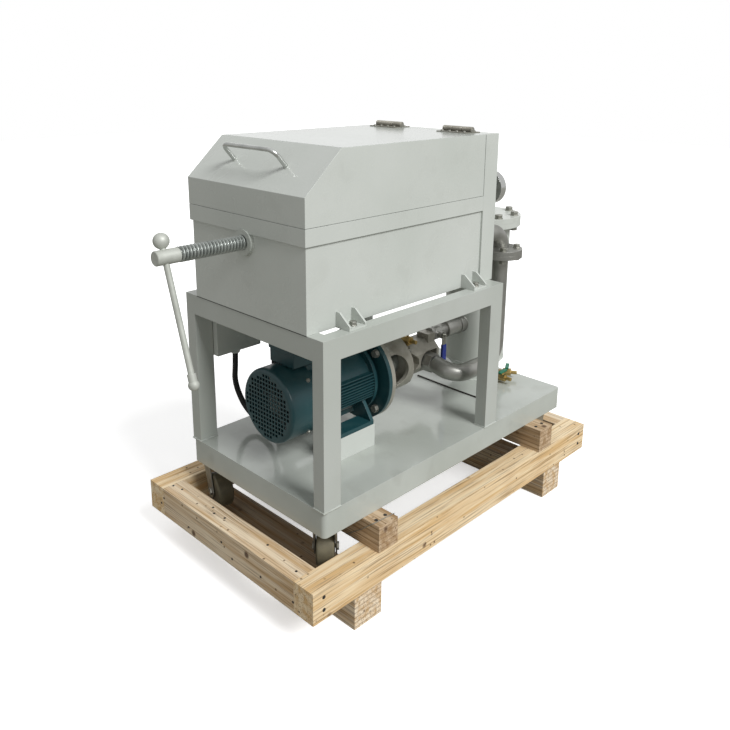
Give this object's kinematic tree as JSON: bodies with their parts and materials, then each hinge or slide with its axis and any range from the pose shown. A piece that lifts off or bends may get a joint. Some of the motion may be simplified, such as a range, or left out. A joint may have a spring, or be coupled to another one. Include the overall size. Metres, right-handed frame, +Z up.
{
  "type": "plate oil filter press on a timber skid",
  "caption": "Plate oil filter press: hinged lid over a screw-pressed plate pack, on a tubular stand with motor, gear pump, strainer tank and casters, resting on a timber shipping skid.",
  "frame": {"origin": "On the floor under the machine's centreline, midway along the front skid bearer.", "axes": "+Z up, +Y along the machine from the screw end to the tank end, +X to the right seen from the screw end."},
  "size_m": [0.775, 1.516, 1.2933],
  "materials": {
    "grey_enamel": "smooth grey enamel over folded sheet",
    "timber": "raw laminated veneer lumber",
    "window": "clear polished pane",
    "bright_steel": "turned and oiled steel",
    "cast_plates": "cast aluminium, machined rims",
    "motor_enamel": "dark teal enamel on castings",
    "raw_iron": "machined grey iron",
    "pipe_steel": "drawn stainless tube with weld seams",
    "brass": "turned brass",
    "green_handle": "green dipped handle",
    "blue_sleeve": "blue dipped sleeve on a zinc lever",
    "black_cable": "black rubber sheath",
    "zinc": "zinc plated pressed steel",
    "caster_tread": "dull moulded nylon",
    "gauge_case": "black case, white dial",
    "tank_enamel": "grey enamel on a welded tank"
  },
  "bodies": {
    "root": {"skid_bearer_front": "timber", "skid_bearer_rear": "timber", "skid_beam_left": "timber", "skid_beam_right": "timber", "skid_beam_front": "timber", "skid_beam_rear": "timber", "skid_block_front": "timber", "skid_block_rear": "timber", "base_platform": "grey_enamel", "stand_frame": "grey_enamel", "filter_box": "grey_enamel", "box_rim": "grey_enamel", "rear_housing": "grey_enamel", "box_lugs": "grey_enamel", "housing_hinge_leaves": "zinc", "screw_nut": "bright_steel", "filter_plates": "cast_plates", "filter_frames": "cast_plates", "plate_rails": "bright_steel", "motor_plinth": "grey_enamel", "motor_body": "motor_enamel", "fan_cowl": "motor_enamel", "terminal_box": "motor_enamel", "lantern": "raw_iron", "gear_pump": "raw_iron", "delivery_pipe": "pipe_steel", "delivery_elbow": "pipe_steel", "strainer_tank": "tank_enamel", "tank_cover": "tank_enamel", "ball_valve": "bright_steel", "suction_pipe": "pipe_steel", "sampling_cock": "brass", "drain_cocks": "brass", "pressure_gauge": "gauge_case", "control_box": "grey_enamel", "motor_cable": "black_cable", "caster_plates": "zinc", "rear_caster_forks": "zinc", "rear_caster_wheels": "caster_tread"},
    "lid": {"lid": "grey_enamel", "lid_window": "window", "lid_handle": "bright_steel", "lid_hinge_leaves": "zinc"},
    "press": {"press_plate": "raw_iron"},
    "spindle": {"press_spindle": "bright_steel"},
    "bar": {"tommy_bar": "bright_steel"},
    "rotor": {"motor_rotor": "bright_steel"},
    "suction_lever": {"valve_lever": "blue_sleeve"},
    "sampling_lever": {"sampling_cock_lever": "green_handle"},
    "drain_lever_near": {"drain_handle_near": "green_handle"},
    "drain_lever_far": {"drain_handle_far": "green_handle"},
    "fork_left": {"caster_fork_left": "zinc"},
    "fork_right": {"caster_fork_right": "zinc"},
    "wheel_left": {"caster_wheel_left": "caster_tread"},
    "wheel_right": {"caster_wheel_right": "caster_tread"}
  },
  "joints": [
    {"name": "lid_hinge", "type": "hinge", "parent": "root", "child": "lid", "pos_m": [0, 0.604, 1.2853], "axis": [-1, 0, 0], "range_deg": [0, 100]},
    {"name": "press_travel", "type": "slide", "parent": "root", "child": "press", "axis": [0, 1, 0], "range_m": [-0.1, 0.085]},
    {"name": "spindle_turn", "type": "hinge", "parent": "press", "child": "spindle", "pos_m": [0, -0.371, 1.021], "axis": [0, 1, 0], "range_deg": [-3598, 3058]},
    {"name": "bar_slide", "type": "slide", "parent": "spindle", "child": "bar", "axis": [-0.309, 0, 0.9511], "range_m": [0, 0.265]},
    {"name": "rotor_spin", "type": "hinge", "parent": "root", "child": "rotor", "pos_m": [0, -0.046, 0.532], "axis": [0, 1, 0], "continuous": true},
    {"name": "suction_lever_turn", "type": "hinge", "parent": "root", "child": "suction_lever", "pos_m": [0.054, 0.681, 0.578], "axis": [1, 0, 0], "range_deg": [0, 90]},
    {"name": "sampling_lever_turn", "type": "hinge", "parent": "root", "child": "sampling_lever", "pos_m": [0.025, 0.527, 0.612], "axis": [0, 0, -1], "range_deg": [0, 90]},
    {"name": "drain_lever_near_turn", "type": "hinge", "parent": "root", "child": "drain_lever_near", "pos_m": [0.12769, 0.94193, 0.369], "axis": [0, 0, 1], "range_deg": [0, 90]},
    {"name": "drain_lever_far_turn", "type": "hinge", "parent": "root", "child": "drain_lever_far", "pos_m": [0.11085, 0.997, 0.369], "axis": [0, 0, 1], "range_deg": [0, 90]},
    {"name": "caster_swivel_left", "type": "hinge", "parent": "root", "child": "fork_left", "pos_m": [-0.268, -0.048, 0.259], "axis": [0, 0, 1], "range_deg": [-18, 60]},
    {"name": "caster_roll_left", "type": "hinge", "parent": "fork_left", "child": "wheel_left", "pos_m": [-0.23419, -0.05706, 0.177], "axis": [-0.2588, -0.9659, 0], "continuous": true},
    {"name": "caster_swivel_right", "type": "hinge", "parent": "root", "child": "fork_right", "pos_m": [0.243, -0.048, 0.259], "axis": [0, 0, 1], "range_deg": [0, 75]},
    {"name": "caster_roll_right", "type": "hinge", "parent": "fork_right", "child": "wheel_right", "pos_m": [0.21825, -0.02325, 0.177], "axis": [0.7071, 0.7071, 0], "continuous": true}
  ],
  "couplings": [
    {"joint": "press_travel", "follows": "spindle_turn", "m_per_rad": 0.0015915}
  ]
}
